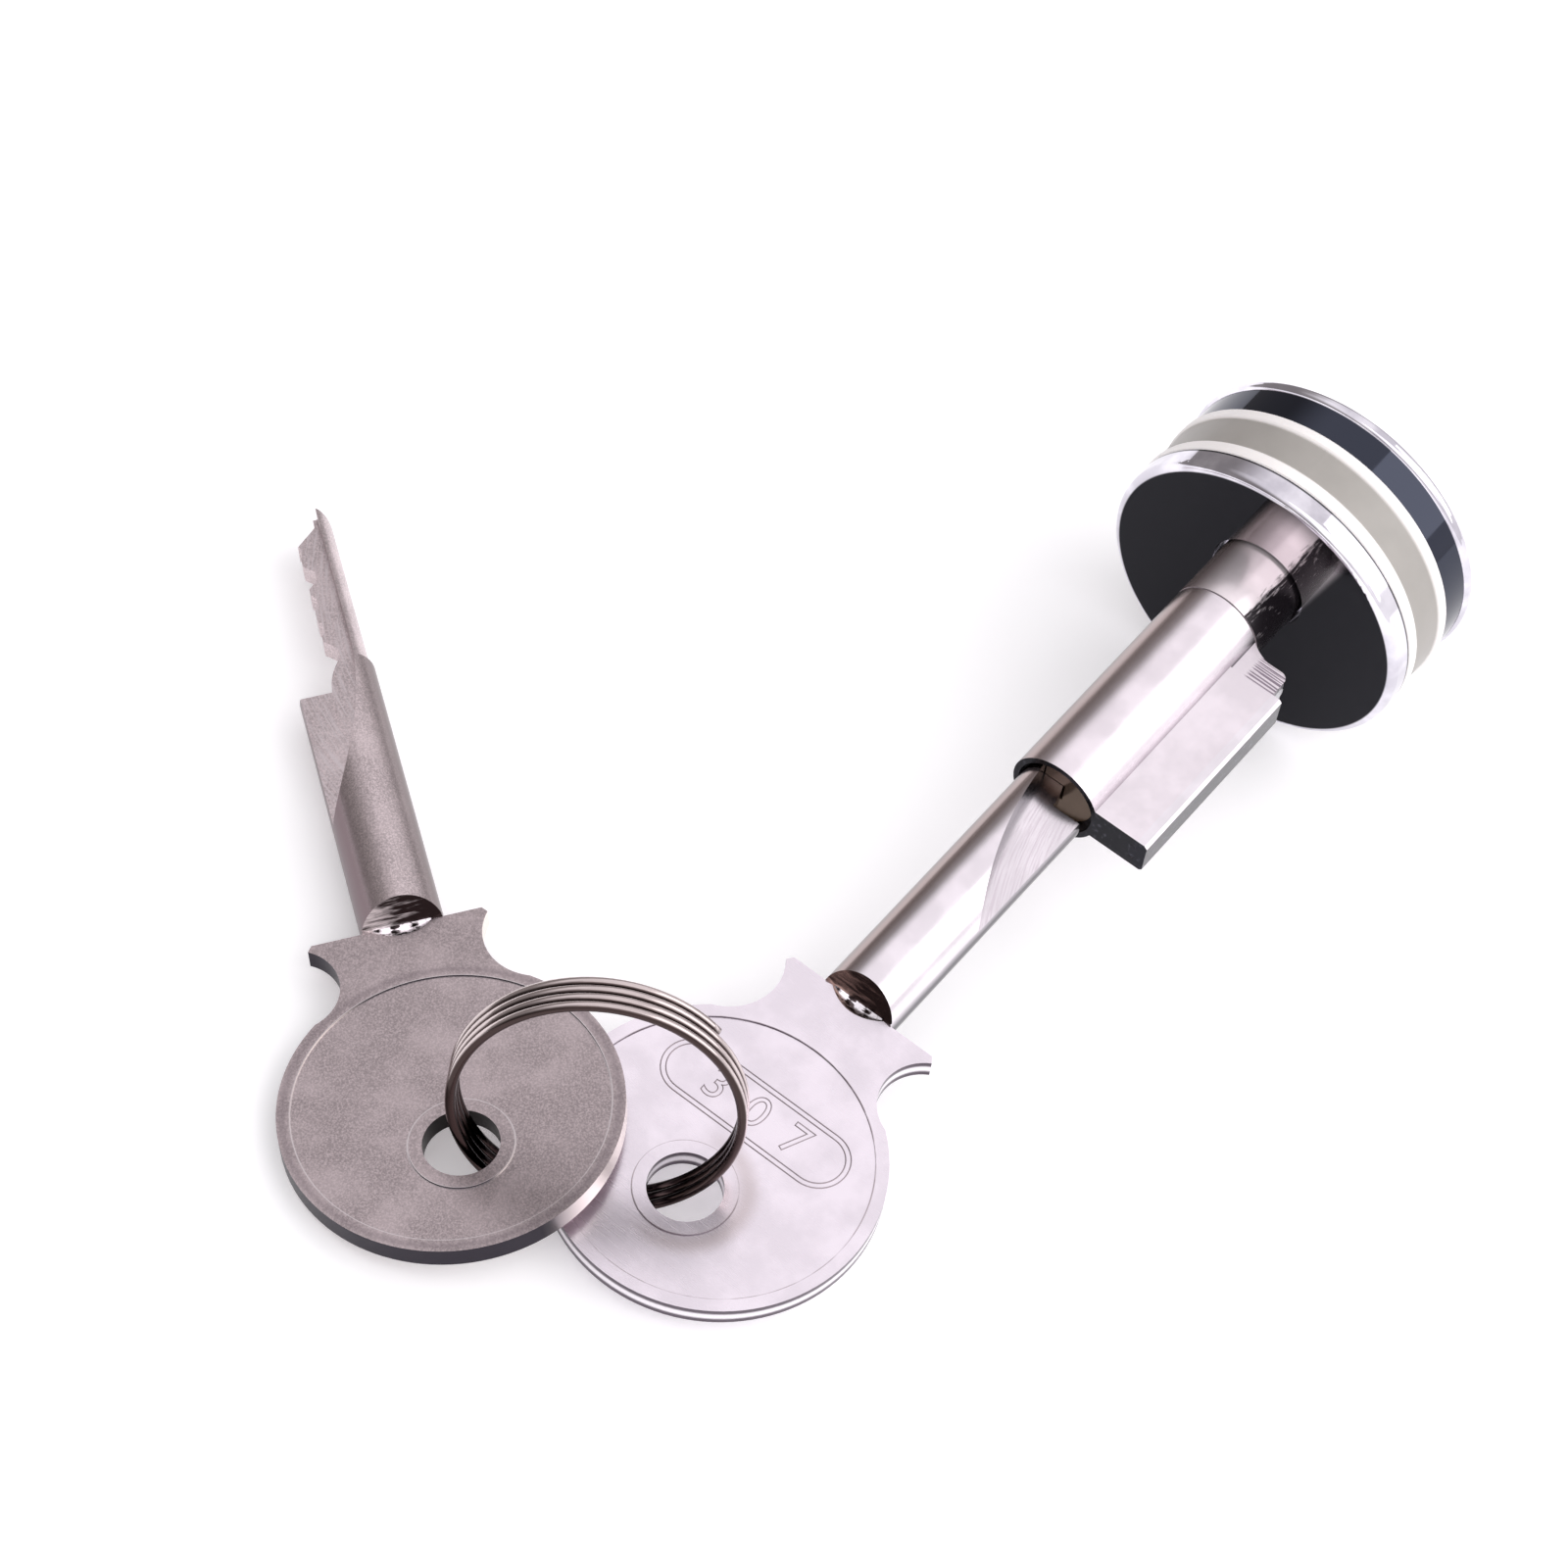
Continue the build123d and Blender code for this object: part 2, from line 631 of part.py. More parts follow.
def assembly():
    """All pieces where they lie, with the origin at the middle of the base of the whole."""
    places = layout()
    placed = {name: places["lock"] * piece for name, piece in lock_pieces().items()}
    shaft = key_shaft()
    bow = key_bow()
    placed["key_shaft"] = places["key"] * shaft
    placed["key_bow"] = places["key"] * bow
    placed["spare_key_shaft"] = places["spare"] * shaft
    placed["spare_key_bow"] = places["spare"] * bow
    placed["split_ring"] = places["ring"] * split_ring()
    box = Compound(list(placed.values())).bounding_box()
    shift = Pos(-(box.min.X + box.max.X) / 2, -(box.min.Y + box.max.Y) / 2, -box.min.Z)
    return {name: shift * piece for name, piece in placed.items()}, shift, places


def main():
    """Write one STEP file per piece."""
    os.makedirs("parts", exist_ok=True)
    pieces, shift, places = assembly()
    for name, piece in pieces.items():
        export_step(piece, f"parts/{name}.step")
    print(f"split ring: least gap between turns {least_coil_gap():.2f} mm")


if __name__ == "__main__":
    main()
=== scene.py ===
import json
import math

import bmesh
import bpy
from mathutils import Matrix, Vector


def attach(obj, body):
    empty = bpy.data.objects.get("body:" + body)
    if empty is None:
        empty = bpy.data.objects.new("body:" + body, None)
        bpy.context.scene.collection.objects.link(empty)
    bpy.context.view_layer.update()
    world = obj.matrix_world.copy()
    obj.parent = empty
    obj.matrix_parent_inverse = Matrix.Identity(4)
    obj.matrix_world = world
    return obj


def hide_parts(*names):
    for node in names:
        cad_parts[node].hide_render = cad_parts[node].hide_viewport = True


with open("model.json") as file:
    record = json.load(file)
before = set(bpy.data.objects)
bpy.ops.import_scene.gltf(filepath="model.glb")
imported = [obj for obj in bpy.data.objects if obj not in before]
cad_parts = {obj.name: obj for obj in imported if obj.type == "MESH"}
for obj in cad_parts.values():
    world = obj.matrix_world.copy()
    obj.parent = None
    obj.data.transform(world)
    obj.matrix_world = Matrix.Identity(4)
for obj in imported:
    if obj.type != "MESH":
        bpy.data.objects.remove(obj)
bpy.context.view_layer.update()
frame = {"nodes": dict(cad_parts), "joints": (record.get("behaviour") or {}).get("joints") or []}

# Display case lock on a pale table. Metres, in the model's own frame.
MM = 0.001

# Sizes that the model has too
FLANGE_THICKNESS = 2.1 * MM
FLANGE_EDGE = 0.7 * MM
BUMPER_WIDTH = 5.6 * MM
CUP_RIM_WIDTH = 1.0 * MM
DRUM_LENGTH = 11.5 * MM
DRUM_RADIUS = 13.6 * MM
DRUM_OFFSET = 2.7 * MM
BARREL_LENGTH = 21.5 * MM
STAND_OFF = 5.9 * MM
BOW_THICKNESS = 1.7 * MM
BOW_DISH = 0.12 * MM
HOLE_SETBACK = 3.5 * MM
KEY_SHOULDER = 42.8 * MM
MOUTH_TO_SHOULDER = 0.75 * MM
SPARE_HEADING = 51.9
RING_RADIUS = 10.5 * MM
RING_MIDDLE = (-36.37 * MM, -17.12 * MM, 10.96 * MM)
RING_ACROSS = (0.8498, 0.5166, -0.1047)

# The same, in millimetres, for the materials
BOW_HALF = 0.85
BOW_RIM_INNER = 11.7
TAB_FROM = -9.25
CUTTER_X = 45.8
SHAFT_ROUND = 2.95
EYELET_RADIUS = 3.9
BITE_START = 15.6
FIN_START = 24.0
BORE_RADIUS = 3.42
NUMBER_X = 4.7 * MM
NUMBER_SPACING = 3.6 * MM
NUMBER_HEIGHT = 3.8 * MM
NUMBER_HALF_LENGTH = 5.8 * MM
CUTTER_Y = -33.15

# Camera: where it stands, and the directions it looks in and has to its right
CAMERA_AT = Vector((-0.22461, -0.11153, 0.27953))
CAMERA_LOOK = Vector((0.6111, 0.2835, -0.7390))
CAMERA_RIGHT = Vector((0.5921, -0.7834, 0.1891))
CAMERA_LENS = 109.56
CAMERA_SENSOR = 36.0

# Where a reflection of the nose is painted on the drum's face above it: parts of y and z across that
# strip
NOSE_REFLECTION_AXES = (0.9464, 0.3231)

# The way in which the room's light is brightest
WORLD_BRIGHT_TOWARD = (0.0, -0.5, 0.866)

joints = {joint["name"]: joint for joint in frame["joints"]}


def axes_frame(origin, x_axis, z_axis):
    """Matrix of a frame from its origin and two axes."""
    x = x_axis.normalized()
    z = (z_axis - x * z_axis.dot(x)).normalized()
    y = z.cross(x)
    matrix = Matrix((x, y, z)).transposed().to_4x4()
    matrix.translation = origin
    return matrix


def lock_frame():
    """x along the lock from the keys to the drum, 0 at the drum's front face."""
    axis = Vector(joints["plug_turn"]["axis"])
    mouth = Vector(joints["plug_turn"]["pos_m"])
    return axes_frame(mouth + axis * (BARREL_LENGTH + STAND_OFF), axis, Vector((0, 0, 1)))


def key_frame():
    """x from the bow's centre to the tip of the key in the lock."""
    axis = Vector(joints["plug_turn"]["axis"])
    mouth = Vector(joints["plug_turn"]["pos_m"])
    return axes_frame(mouth - axis * (KEY_SHOULDER - MOUTH_TO_SHOULDER), axis, Vector((0, 0, 1)))


def spare_frame():
    """x from the bow's centre to the tip of the spare key, z out of its upper face."""
    up = Vector(joints["spare_swing"]["axis"])
    if up.z < 0:
        up = -up
    heading = math.radians(SPARE_HEADING)
    rise = -(up.x * math.cos(heading) + up.y * math.sin(heading)) / up.z
    axis = Vector((math.cos(heading), math.sin(heading), rise)).normalized()
    hole = Vector(joints["spare_swing"]["pos_m"])
    return axes_frame(hole + axis * HOLE_SETBACK, axis, up)


def ring_frame():
    """z across the turns of the split ring, x as nearly as can be from hole to hole."""
    across = Vector(RING_ACROSS).normalized()
    along = -Vector(joints["ring_swing"]["axis"])
    return axes_frame(Vector(RING_MIDDLE), along - across * along.dot(across), across)


LOCK = lock_frame()
KEY = key_frame()
SPARE = spare_frame()
RING = ring_frame()


class Shader:
    """A material with a Principled shader, and short ways to add nodes to it."""

    def __init__(self, name, color, metallic, roughness):
        self.material = bpy.data.materials.new(name)
        self.material.use_nodes = True
        self.tree = self.material.node_tree
        self.shader = self.tree.nodes["Principled BSDF"]
        self.shader.inputs["Base Color"].default_value = (*color, 1)
        self.shader.inputs["Metallic"].default_value = metallic
        self.shader.inputs["Roughness"].default_value = roughness

    def node(self, kind, **settings):
        """New node, with its properties set."""
        made = self.tree.nodes.new(kind)
        for name, value in settings.items():
            setattr(made, name, value)
        return made

    def link(self, source, target):
        self.tree.links.new(source, target)

    def put(self, socket, value):
        """Set a socket to a number, a tuple or another node's output."""
        if isinstance(value, bpy.types.NodeSocket):
            self.link(value, socket)
        else:
            socket.default_value = value

    def local(self, matrix):
        """Coordinates in one of the frames, in millimetres."""
        coords = self.node("ShaderNodeTexCoord")
        mapping = self.node("ShaderNodeMapping", vector_type="TEXTURE")
        mapping.inputs["Location"].default_value = matrix.translation
        mapping.inputs["Rotation"].default_value = matrix.to_euler("XYZ")
        mapping.inputs["Scale"].default_value = (MM, MM, MM)
        self.link(coords.outputs["Object"], mapping.inputs["Vector"])
        return mapping.outputs["Vector"]

    def split(self, vector):
        """x, y and z of a vector."""
        made = self.node("ShaderNodeSeparateXYZ")
        self.link(vector, made.inputs["Vector"])
        return made.outputs

    def stretched(self, vector, scale):
        """The coordinates, scaled differently along each axis."""
        made = self.node("ShaderNodeVectorMath", operation="MULTIPLY")
        self.link(vector, made.inputs[0])
        made.inputs[1].default_value = scale
        return made.outputs["Vector"]

    def noise(self, vector, scale, detail=2.0, roughness=0.5):
        """Noise between 0 and 1."""
        made = self.node("ShaderNodeTexNoise")
        self.link(vector, made.inputs["Vector"])
        made.inputs["Scale"].default_value = scale
        made.inputs["Detail"].default_value = detail
        made.inputs["Roughness"].default_value = roughness
        return made.outputs["Fac"]

    def math(self, operation, a, b=0.0, c=0.0):
        """Arithmetic on sockets or numbers."""
        made = self.node("ShaderNodeMath", operation=operation)
        for socket, value in zip(made.inputs, (a, b, c)):
            self.put(socket, value)
        return made.outputs[0]

    def ramp(self, value, low, high, to_low=0.0, to_high=1.0):
        """Smooth step of a value from one range to another."""
        made = self.node("ShaderNodeMapRange", interpolation_type="SMOOTHSTEP")
        self.put(made.inputs["Value"], value)
        made.inputs["From Min"].default_value = low
        made.inputs["From Max"].default_value = high
        made.inputs["To Min"].default_value = to_low
        made.inputs["To Max"].default_value = to_high
        return made.outputs["Result"]

    def mix(self, factor, color_a, color_b):
        """Colour between two others."""
        made = self.node("ShaderNodeMix", data_type="RGBA")
        self.put(made.inputs[0], factor)
        for socket, color in ((made.inputs[6], color_a), (made.inputs[7], color_b)):
            self.put(socket, color if isinstance(color, bpy.types.NodeSocket) else (*color, 1))
        return made.outputs[2]

    def bump(self, height, strength, distance):
        """Surface relief from a height, on the shader's normal."""
        made = self.node("ShaderNodeBump")
        made.inputs["Strength"].default_value = strength
        made.inputs["Distance"].default_value = distance
        self.link(height, made.inputs["Height"])
        self.link(made.outputs["Normal"], self.shader.inputs["Normal"])

    def normals(self, matrix):
        """How far the surface faces along each axis of a frame, from -1 to 1."""
        coords = self.node("ShaderNodeTexCoord")
        facing = []
        for axis in matrix.to_3x3().transposed():
            made = self.node("ShaderNodeVectorMath", operation="DOT_PRODUCT")
            self.link(coords.outputs["Normal"], made.inputs[0])
            made.inputs[1].default_value = axis
            facing.append(made.outputs["Value"])
        return facing

    def length(self, a, b):
        """Length of the hypotenuse."""
        total = self.math("ADD", self.math("MULTIPLY", a, a), self.math("MULTIPLY", b, b))
        return self.math("SQRT", total)

    def radius(self):
        """Distance from the frame's x axis, in millimetres."""
        return self.length(self.place[1], self.place[2])

    def radius_at(self, x, y=0.0):
        """Distance from an upright line through a point of the frame's xy plane."""
        across = self.math("SUBTRACT", self.place[0], x)
        along = self.math("SUBTRACT", self.place[1], y)
        return self.length(across, along)

    def inward(self):
        """How far the surface faces the frame's z axis, from -1 to 1."""
        x, y = self.place[:2]
        reach = self.length(x, y)
        toward = self.math("ADD", self.math("MULTIPLY", x, self.facing[0]),
                           self.math("MULTIPLY", y, self.facing[1]))
        return self.math("MULTIPLY", self.math("DIVIDE", toward, reach), -1.0)

    def band(self, value, middle, half_width):
        """1 where a value is close to a middle one, falling to 0 beside it."""
        away = self.math("ABSOLUTE", self.math("SUBTRACT", value, middle))
        return self.ramp(away, 0.0, half_width, 1.0, 0.0)

    def color(self, value):
        self.link(value, self.shader.inputs["Base Color"])

    def roughness(self, value):
        self.link(value, self.shader.inputs["Roughness"])


def plated(name, base, matrix, gloss=0.25, metallic=1.0, drawn=(0.35, 12.0, 12.0), grain=0.1):
    """Plated metal with soft stains and fine lines drawn along one axis of a frame."""
    made = Shader(name, base, metallic, gloss)
    made.vector = made.local(matrix)
    made.place = made.split(made.vector)[:3]
    made.facing = made.normals(matrix)
    made.lines = made.noise(made.stretched(made.vector, drawn), 1.0, 3.0)
    cloud = made.noise(made.vector, 0.3, 3.0)
    darker = tuple(0.88 * part for part in base)
    made.tone = made.mix(made.ramp(cloud, 0.35, 0.7), darker, base)
    fine = made.math("MULTIPLY", made.lines, grain)
    made.roughness(made.math("ADD", fine, gloss - grain / 2))
    made.bump(made.lines, 0.1, 0.02 * MM)
    return made


def tube_shade(made, dark, toward, start, end, core=0.0):
    """Painted shade: darker tone on the side of a round bar that faces one way across it."""
    across = made.math("MULTIPLY", made.facing[1], toward)
    round_part = made.ramp(made.radius(), core, core + 0.15)
    factor = made.math("MULTIPLY", made.ramp(across, start, end), round_part)
    made.tone = made.mix(factor, made.tone, dark)


def housing_metal():
    """Satin nickel of the housing: painted shade, brown on its left flank and dark in the bore, and a
    painted dark reflection, black, on the end that faces the keys and on the sides that face -y.
    """
    made = plated("satin_nickel", (0.95, 0.88, 0.93), LOCK, 0.24)
    # Painted shade: brown on the left flank, near black where it faces fully that way.
    tube_shade(made, (0.4, 0.32, 0.31), 1.0, 0.2, 0.65)
    tube_shade(made, (0.1, 0.075, 0.075), 1.0, 0.75, 0.99)
    x, y = made.place[:2]
    # Painted shade: dark brown inside the bore.
    inside = made.ramp(made.radius(), BORE_RADIUS, BORE_RADIUS + 0.18, 1.0, 0.0)
    made.tone = made.mix(inside, made.tone, (0.1, 0.06, 0.04))
    # Painted dark reflection: near black with specks on the end that faces the keys and on the sides that
    # face -y.
    ahead = made.ramp(made.facing[0], -0.9, -0.6, 1.0, 0.0)
    speck = made.ramp(made.noise(made.vector, 2.5, 3.0), 0.55, 0.75)
    black = made.mix(speck, (0.008, 0.008, 0.012), (0.05, 0.05, 0.065))
    made.tone = made.mix(ahead, made.tone, black)
    beside = made.ramp(made.facing[1], -0.95, -0.8, 1.0, 0.0)
    made.tone = made.mix(beside, made.tone, black)
    on_tab = made.math("MULTIPLY", made.ramp(x, TAB_FROM - 0.05, TAB_FROM + 0.05),
                       made.ramp(y, -5.2, -4.7, 1.0, 0.0))
    turned = made.ramp(made.noise(made.stretched(made.vector, (9.0, 0.2, 0.2)), 1.0, 0.0), 0.44, 0.54)
    made.tone = made.mix(made.math("MULTIPLY", on_tab, turned), made.tone, (0.3, 0.25, 0.3))
    made.color(made.tone)
    return made.material


def strip_metal():
    """Cover strip: pale on its faces, with a painted dark reflection, black with specks, on its long
    outer side and on its end.
    """
    made = plated("strip_nickel", (0.95, 0.9, 0.95), LOCK, 0.2)
    # Painted dark reflection on the sides that face -y and -x.
    side = made.ramp(made.facing[1], -0.95, -0.85, 1.0, 0.0)
    front = made.ramp(made.facing[0], -0.95, -0.85, 1.0, 0.0)
    speck = made.ramp(made.noise(made.vector, 2.2, 4.0, 0.7), 0.56, 0.72)
    black = made.mix(speck, (0.008, 0.008, 0.014), (0.12, 0.12, 0.16))
    made.tone = made.mix(made.math("MAXIMUM", side, front), made.tone, black)
    made.color(made.tone)
    return made.material


def plug_metal():
    """Plug: painted shade dark in its mouth, bright on the nose, with a streaked dark flank that is
    partly painted shade.
    """
    made = plated("plug_nickel", (0.95, 0.87, 0.9), LOCK, 0.22, 0.6)
    x = made.place[0]
    # Painted shade: brown on the flank that faces +y.
    tube_shade(made, (0.3, 0.24, 0.23), 1.0, 0.25, 0.8)
    # Dark streaks, and painted shade that makes them run together on the flank that faces -y.
    streaks = made.noise(made.stretched(made.vector, (0.5, 3.0, 3.0)), 1.0, 4.0, 0.7)
    flank = made.ramp(made.facing[1], -0.75, -0.3, 1.0, 0.0)
    edge = made.ramp(made.math("ADD", streaks, made.math("MULTIPLY", flank, 0.5)), 0.7, 0.92)
    made.tone = made.mix(edge, made.tone, (0.02, 0.016, 0.02))
    # Painted shade: dark brown in the mouth of the keyway.
    mouth = made.ramp(x, -27.0, -15.0, 1.0, 0.0)
    made.tone = made.mix(mouth, made.tone, (0.1, 0.06, 0.035))
    made.color(made.tone)
    return made.material


def bow_metal():
    """Bow of the key in the lock: bright, with thin dark lines along its rim and eyelet, painted light on
    its edge wall and a painted highlight in the crescent.
    """
    made = plated("bright_nickel", (0.95, 0.88, 0.95), KEY, 0.26, drawn=(9.0, 0.4, 9.0))
    y, z = made.place[1:]
    # Thin dark lines at the rim step and round the eyelet, patchy along their length.
    rim = made.band(made.radius_at(0.0), BOW_RIM_INNER, 0.09)
    eyelet = made.radius_at(-HOLE_SETBACK / MM)
    lines = made.math("MAXIMUM", rim, made.band(eyelet, EYELET_RADIUS, 0.08))
    patchiness = made.ramp(made.noise(made.vector, 0.5, 2.0), 0.35, 0.6, 0.25, 1.0)
    made.tone = made.mix(made.math("MULTIPLY", lines, patchiness), made.tone, (0.42, 0.36, 0.38))
    one_side = made.ramp(y, -2.0, 2.5, 1.0, 0.0)
    soft = made.math("MULTIPLY", made.band(eyelet, 4.6, 1.3), one_side)
    made.tone = made.mix(made.math("MULTIPLY", soft, 0.4), made.tone, (0.45, 0.36, 0.33))
    # Painted light on the bow's edge wall: a pale highlight along its middle and painted shade near its
    # two corners.
    flat = made.ramp(made.math("ABSOLUTE", made.facing[2]), 0.85, 0.97)
    brink = made.ramp(made.math("ABSOLUTE", z), 0.15, 0.5)
    wall = made.mix(brink, (0.9, 0.86, 0.9), (0.1, 0.08, 0.1))
    made.tone = made.mix(flat, wall, made.tone)
    root_bite(made, (0.97, 0.95, 0.97), (0.08, 0.06, 0.06))
    made.color(made.tone)
    return made.material


def root_bite(made, pale, dark):
    """The crescent that the cutter left in the bow, with a painted highlight: pale, with dark glints."""
    x, y, z = made.place
    low = made.ramp(made.math("ABSOLUTE", z), BOW_HALF - 0.03, BOW_HALF - 0.01, 1.0, 0.0)
    middle = made.ramp(made.math("ABSOLUTE", y), 4.4, 4.5, 1.0, 0.0)
    beyond = made.ramp(x, BITE_START, BITE_START + 0.1)
    where = made.math("MULTIPLY", made.math("MULTIPLY", beyond, low), middle)
    glints = made.ramp(made.noise(made.stretched(made.vector, (3.0, 1.2, 1.0)), 1.0, 2.0), 0.52, 0.6)
    # Painted highlight in the crescent, broken by painted dark glints.
    made.tone = made.mix(where, made.tone, made.mix(glints, pale, dark))


def mill_marks(made, tone, strength):
    """Arcs that the round cutter left on the fin's two faces."""
    x = made.place[0]
    z = made.place[2]
    flat = made.ramp(made.math("ABSOLUTE", made.facing[2]), 0.93, 0.99)
    near = made.ramp(made.math("ABSOLUTE", z), 0.9, 0.95, 1.0, 0.0)
    beyond = made.ramp(x, FIN_START, FIN_START + 0.5)
    where = made.math("MULTIPLY", made.math("MULTIPLY", flat, near), beyond)
    reach = made.radius_at(CUTTER_X, CUTTER_Y)
    arcs = made.node("ShaderNodeCombineXYZ")
    made.put(arcs.inputs[0], made.math("MULTIPLY", reach, 5.0))
    made.put(arcs.inputs[1], made.math("MULTIPLY", x, 0.25))
    marks = made.ramp(made.noise(arcs.outputs[0], 1.0, 3.0, 0.6), 0.42, 0.66)
    amount = made.math("MULTIPLY", where, made.math("MULTIPLY", marks, strength))
    made.tone = made.mix(amount, made.tone, tone)


def root_face(made, dark, pale):
    """Scratched end face of the shaft above the bow."""
    x, y = made.place[:2]
    back = made.ramp(made.facing[0], -0.8, -0.6, 1.0, 0.0)
    where = made.math("MULTIPLY", back, made.ramp(x, 18.4, 18.6, 1.0, 0.0))
    scratches = made.noise(made.stretched(made.vector, (1.0, 0.5, 4.0)), 1.0, 3.0, 0.6)
    shade = made.ramp(made.math("ADD", scratches, made.math("MULTIPLY", y, 0.07)), 0.45, 0.8)
    made.tone = made.mix(where, made.tone, made.mix(shade, dark, pale))


def shaft_metal():
    """Shaft of the key in the lock, with painted shade: brown flank, bright middle, dark lower side."""
    made = plated("shaft_nickel", (0.96, 0.9, 0.95), KEY, 0.2)
    # Painted shade: brown on the flank, near black where it faces fully that way.
    tube_shade(made, (0.42, 0.34, 0.33), 1.0, 0.25, 0.6, SHAFT_ROUND)
    tube_shade(made, (0.1, 0.08, 0.08), 1.0, 0.72, 0.98, SHAFT_ROUND)
    # Painted shade: near black on the lower side.
    under = made.math("SUBTRACT", made.math("MULTIPLY", made.facing[1], -1.0),
                      made.math("MULTIPLY", made.facing[2], 0.9))
    made.tone = made.mix(made.ramp(under, 0.55, 1.0), made.tone, (0.05, 0.045, 0.055))
    mill_marks(made, (0.7, 0.62, 0.68), 0.6)
    root_face(made, (0.035, 0.022, 0.02), (0.3, 0.2, 0.17))
    made.color(made.tone)
    return made.material


def worn_metal(name, base, gloss, drawn, shaft):
    """Dull plating of the spare key with a fine speckle and stains."""
    made = plated(name, base, SPARE, gloss, drawn=drawn, grain=0.06)
    speckle = made.noise(made.vector, 6.5, 3.0, 0.8)
    stains = made.noise(made.vector, 0.25, 4.0, 0.6)
    dark = tuple(0.68 * part for part in base)
    light = tuple(min(1.0, 1.35 * part) for part in base)
    stained = made.mix(made.ramp(stains, 0.4, 0.68), dark, made.tone)
    made.tone = made.mix(made.ramp(speckle, 0.38, 0.68, 0.0, 0.8), stained, light)
    if shaft:
        # Painted shade on both flanks of the round shaft.
        tube_shade(made, (0.2, 0.15, 0.16), 1.0, 0.3, 0.8, SHAFT_ROUND)
        tube_shade(made, (0.17, 0.13, 0.13), -1.0, 0.55, 0.95, SHAFT_ROUND)
        mill_marks(made, (0.75, 0.68, 0.7), 0.75)
        root_face(made, (0.03, 0.02, 0.02), (0.85, 0.8, 0.8))
    else:
        eyelet = made.radius_at(-HOLE_SETBACK / MM)
        # Painted highlights along the rim step and the eyelet's edge.
        bright = made.math("MAXIMUM", made.band(made.radius_at(0.0), BOW_RIM_INNER, 0.1),
                           made.band(eyelet, EYELET_RADIUS, 0.12))
        made.tone = made.mix(made.math("MULTIPLY", bright, 0.8), made.tone, (0.8, 0.75, 0.76))
        # Painted shade in a band just outside the rim step.
        ring = made.band(made.radius_at(0.0), BOW_RIM_INNER + 0.55, 0.5)
        made.tone = made.mix(made.math("MULTIPLY", ring, 0.35), made.tone, (0.2, 0.16, 0.18))
        # Painted light on the bow's edge wall: near black where it faces -y, cream elsewhere.
        edge = made.ramp(made.math("ABSOLUTE", made.facing[2]), 0.2, 0.5, 1.0, 0.0)
        beside = made.ramp(made.facing[1], -0.75, -0.3, 1.0, 0.0)
        pale = made.mix(beside, (0.03, 0.025, 0.035), (0.97, 0.9, 0.84))
        made.tone = made.mix(edge, made.tone, pale)
        # Painted shade: near black on the wall of the eyelet hole.
        hole_wall = made.math("MULTIPLY", made.ramp(eyelet, 3.0, 3.1, 1.0, 0.0), edge)
        made.tone = made.mix(hole_wall, made.tone, (0.015, 0.012, 0.012))
        root_bite(made, (0.95, 0.9, 0.93), (0.05, 0.04, 0.04))
    made.color(made.tone)
    return made.material


def wire_metal():
    """Wire of the split ring, with painted shade: dark inside the ring and where two turns touch."""
    made = plated("ring_nickel", (0.7, 0.61, 0.6), RING, 0.16, drawn=(1.0, 1.0, 1.0))
    # Painted shade on the inner side of the ring and between touching turns.
    inner = made.ramp(made.inward(), 0.0, 0.6)
    made.tone = made.mix(inner, made.tone, (0.03, 0.022, 0.022))
    between = made.ramp(made.math("ABSOLUTE", made.facing[2]), 0.4, 0.8)
    made.tone = made.mix(between, made.tone, (0.06, 0.042, 0.04))
    made.color(made.tone)
    return made.material


def painted_nose_reflection(made, x, y, z):
    """1 on a soft strip of the drum's front face above the nose, where a paler reflection of the nose is
    painted.
    """
    across = made.math("ADD", made.math("MULTIPLY", y, NOSE_REFLECTION_AXES[0]),
                       made.math("MULTIPLY", z, NOSE_REFLECTION_AXES[1]))
    above = made.math("SUBTRACT", made.math("MULTIPLY", z, NOSE_REFLECTION_AXES[0]),
                      made.math("MULTIPLY", y, NOSE_REFLECTION_AXES[1]))
    near = made.math("MULTIPLY", made.ramp(above, 0.5, 1.5), made.ramp(above, 7.0, 12.0, 1.0, 0.0))
    reflection_strip = made.math("MULTIPLY", made.ramp(made.math("ABSOLUTE", across), 2.8, 4.2, 1.0, 0.0), near)
    return made.math("MULTIPLY", reflection_strip, made.ramp(x, 0.05, 0.1, 1.0, 0.0))


def drum_chrome(name, dark_from, dark_to, inner_radius, dark=(0.012, 0.012, 0.016)):
    """Mirror chrome, with a painted dark reflection that makes it near black between two stations, a
    painted reflection of the nose on the front face, and a dark line beside the front lip.
    """
    made = Shader(name, (0.8, 0.8, 0.83), 1.0, 0.06)
    x, y, z = made.split(made.local(LOCK))[:3]
    made.place = (x, y, made.math("ADD", z, DRUM_OFFSET / MM))
    radius = made.radius()
    # Painted dark reflection: near black between the two stations, inside a radius.
    after = made.ramp(x, dark_from - 0.04, dark_from)
    before = made.ramp(x, dark_to, dark_to + 0.04, 1.0, 0.0)
    inside = made.ramp(radius, inner_radius, inner_radius + 0.15, 1.0, 0.0)
    zone = made.math("MULTIPLY", made.math("MULTIPLY", after, before), inside)
    # Painted reflection: the dark face turns paler on the strip above the nose.
    dark = made.mix(painted_nose_reflection(made, x, y, z), dark, (0.62, 0.57, 0.59))
    joint = made.math("MULTIPLY", made.band(x, 2.02, 0.16), made.ramp(radius, 13.2, 13.3))
    zone = made.math("MAXIMUM", zone, joint)
    patchiness = made.noise(made.local(LOCK), 0.22, 4.0)
    chrome = made.mix(made.ramp(patchiness, 0.4, 0.65), (0.62, 0.6, 0.66), (0.88, 0.86, 0.92))
    made.color(made.mix(zone, chrome, dark))
    made.roughness(made.ramp(patchiness, 0.35, 0.75, 0.05, 0.1))
    return made.material


